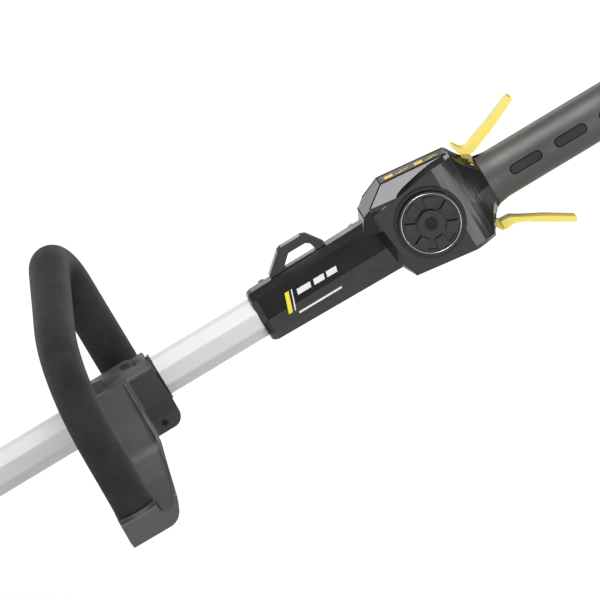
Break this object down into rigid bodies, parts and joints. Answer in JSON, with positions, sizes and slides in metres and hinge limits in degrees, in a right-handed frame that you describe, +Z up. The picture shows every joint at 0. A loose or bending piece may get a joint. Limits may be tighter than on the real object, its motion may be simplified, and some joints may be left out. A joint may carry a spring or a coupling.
{
  "type": "string trimmer",
  "caption": "Professional electric string trimmer: octagonal shaft, split control housing with dial and yellow levers, sliding foam loop handle, motor head with bump spool and guard.",
  "frame": {"origin": "where the bump knob's flat underside meets the ground, on the spindle axis", "axes": "+Z up along the spindle, +X towards the operator, who holds the raised end of the shaft; +Y to the operator's right"},
  "size_m": [1.6844, 0.3532, 1.0345],
  "materials": {
    "anodised_aluminium": "satin anodised",
    "gloss_black": "glossy moulded",
    "display": "smoked clear",
    "yellow_light": "clear yellow",
    "yellow_lever": "translucent yellow",
    "grip_plastic": "satin moulded",
    "soft_rubber": "matt",
    "foam": "closed-cell foam",
    "grey_plastic": "satin moulded",
    "dark_plastic": "satin moulded",
    "black_knob": "moulded",
    "tube_steel": "powder coated",
    "screw_steel": "zinc plated",
    "hard_steel": "ground",
    "head_casting": "painted casting",
    "motor_aluminium": "fine blasted",
    "stator_steel": "laminated",
    "board_green": "lacquered",
    "contact_brass": "bright",
    "cable_black": "matt",
    "trimmer_line": "extruded nylon"
  },
  "bodies": {
    "trimmer": {"shaft_tube": "anodised_aluminium", "motor_cable": "cable_black", "housing_left": "gloss_black", "housing_right": "gloss_black", "case_screws": "screw_steel", "strap_eye": "gloss_black", "top_cover": "gloss_black", "display_window": "display", "status_lights": "yellow_light", "knob_bezel": "gloss_black", "knob_encoder": "dark_plastic", "control_board": "board_green", "heat_sink": "motor_aluminium", "safety_pin": "hard_steel", "throttle_pin": "hard_steel", "safety_spring": "hard_steel", "throttle_spring": "hard_steel", "safety_switch": "dark_plastic", "throttle_sensor": "dark_plastic", "grip_left": "grip_plastic", "grip_right": "grip_plastic", "grip_pads": "soft_rubber", "grip_end_cap": "grip_plastic", "power_inlet": "dark_plastic", "inlet_pins": "contact_brass", "wire_harness": "cable_black", "head_elbow": "head_casting", "elbow_screws": "screw_steel", "motor_housing": "motor_aluminium", "motor_cover": "head_casting", "spindle_bearings": "hard_steel", "stator": "stator_steel", "guard": "dark_plastic", "guard_screws": "screw_steel", "line_cutter": "hard_steel"},
    "speed_dial": {"speed_knob": "gloss_black", "knob_screw": "screw_steel"},
    "safety_lever": {"safety_lever": "yellow_lever"},
    "throttle_lever": {"throttle_lever": "yellow_lever"},
    "loop_handle": {"loop_tube": "tube_steel", "loop_foam": "foam", "loop_bracket": "grey_plastic", "clamp_jaw": "dark_plastic", "clamp_liner": "soft_rubber", "clamp_bolt": "screw_steel", "clamp_nut": "screw_steel", "clamp_hinge_pin": "screw_steel", "bracket_screws": "screw_steel"},
    "cutting_head": {"rotor": "stator_steel", "spindle": "hard_steel", "spool_housing": "dark_plastic", "spool_cover": "dark_plastic", "arbor_nut": "screw_steel", "line_eyelets": "motor_aluminium", "cutting_line": "trimmer_line", "spool_spring": "hard_steel"},
    "bump_knob": {"bump_knob": "black_knob"},
    "spool": {"spool": "black_knob", "wound_line": "trimmer_line"}
  },
  "joints": [
    {"name": "safety_lever_pivot", "type": "hinge", "parent": "trimmer", "child": "safety_lever", "pos_m": [1.34203, 0, 0.95533], "axis": [0, 1, 0], "range_deg": [0, 18], "stiffness_Nm_per_rad": 0.25, "springref_deg": -14.32, "deforming": ["safety_spring"]},
    {"name": "throttle_lever_pivot", "type": "hinge", "parent": "trimmer", "child": "throttle_lever", "pos_m": [1.35775, 0, 0.91355], "axis": [0, -1, 0], "range_deg": [0, 24], "stiffness_Nm_per_rad": 0.3, "springref_deg": -17.19, "deforming": ["throttle_spring"]},
    {"name": "speed_dial_turn", "type": "hinge", "parent": "trimmer", "child": "speed_dial", "pos_m": [1.3115, -0.025, 0.91838], "axis": [0, -1, 0], "range_deg": [-150, 150]},
    {"name": "loop_handle_slide", "type": "slide", "parent": "trimmer", "child": "loop_handle", "axis": [0.8634, 0, 0.5045], "range_m": [-0.08, 0.06]},
    {"name": "head_spin", "type": "hinge", "parent": "trimmer", "child": "cutting_head", "pos_m": [0, 0, 0.05], "axis": [0, 0, -1], "continuous": true},
    {"name": "bump_feed", "type": "slide", "parent": "cutting_head", "child": "bump_knob", "axis": [0, 0, 1], "range_m": [0, 0.006], "stiffness_N_per_m": 900, "springref_m": -0.004, "deforming": ["spool_spring"]},
    {"name": "spool_turn", "type": "hinge", "parent": "bump_knob", "child": "spool", "pos_m": [0, 0, 0.027], "axis": [0, 0, 1], "continuous": true}
  ]
}
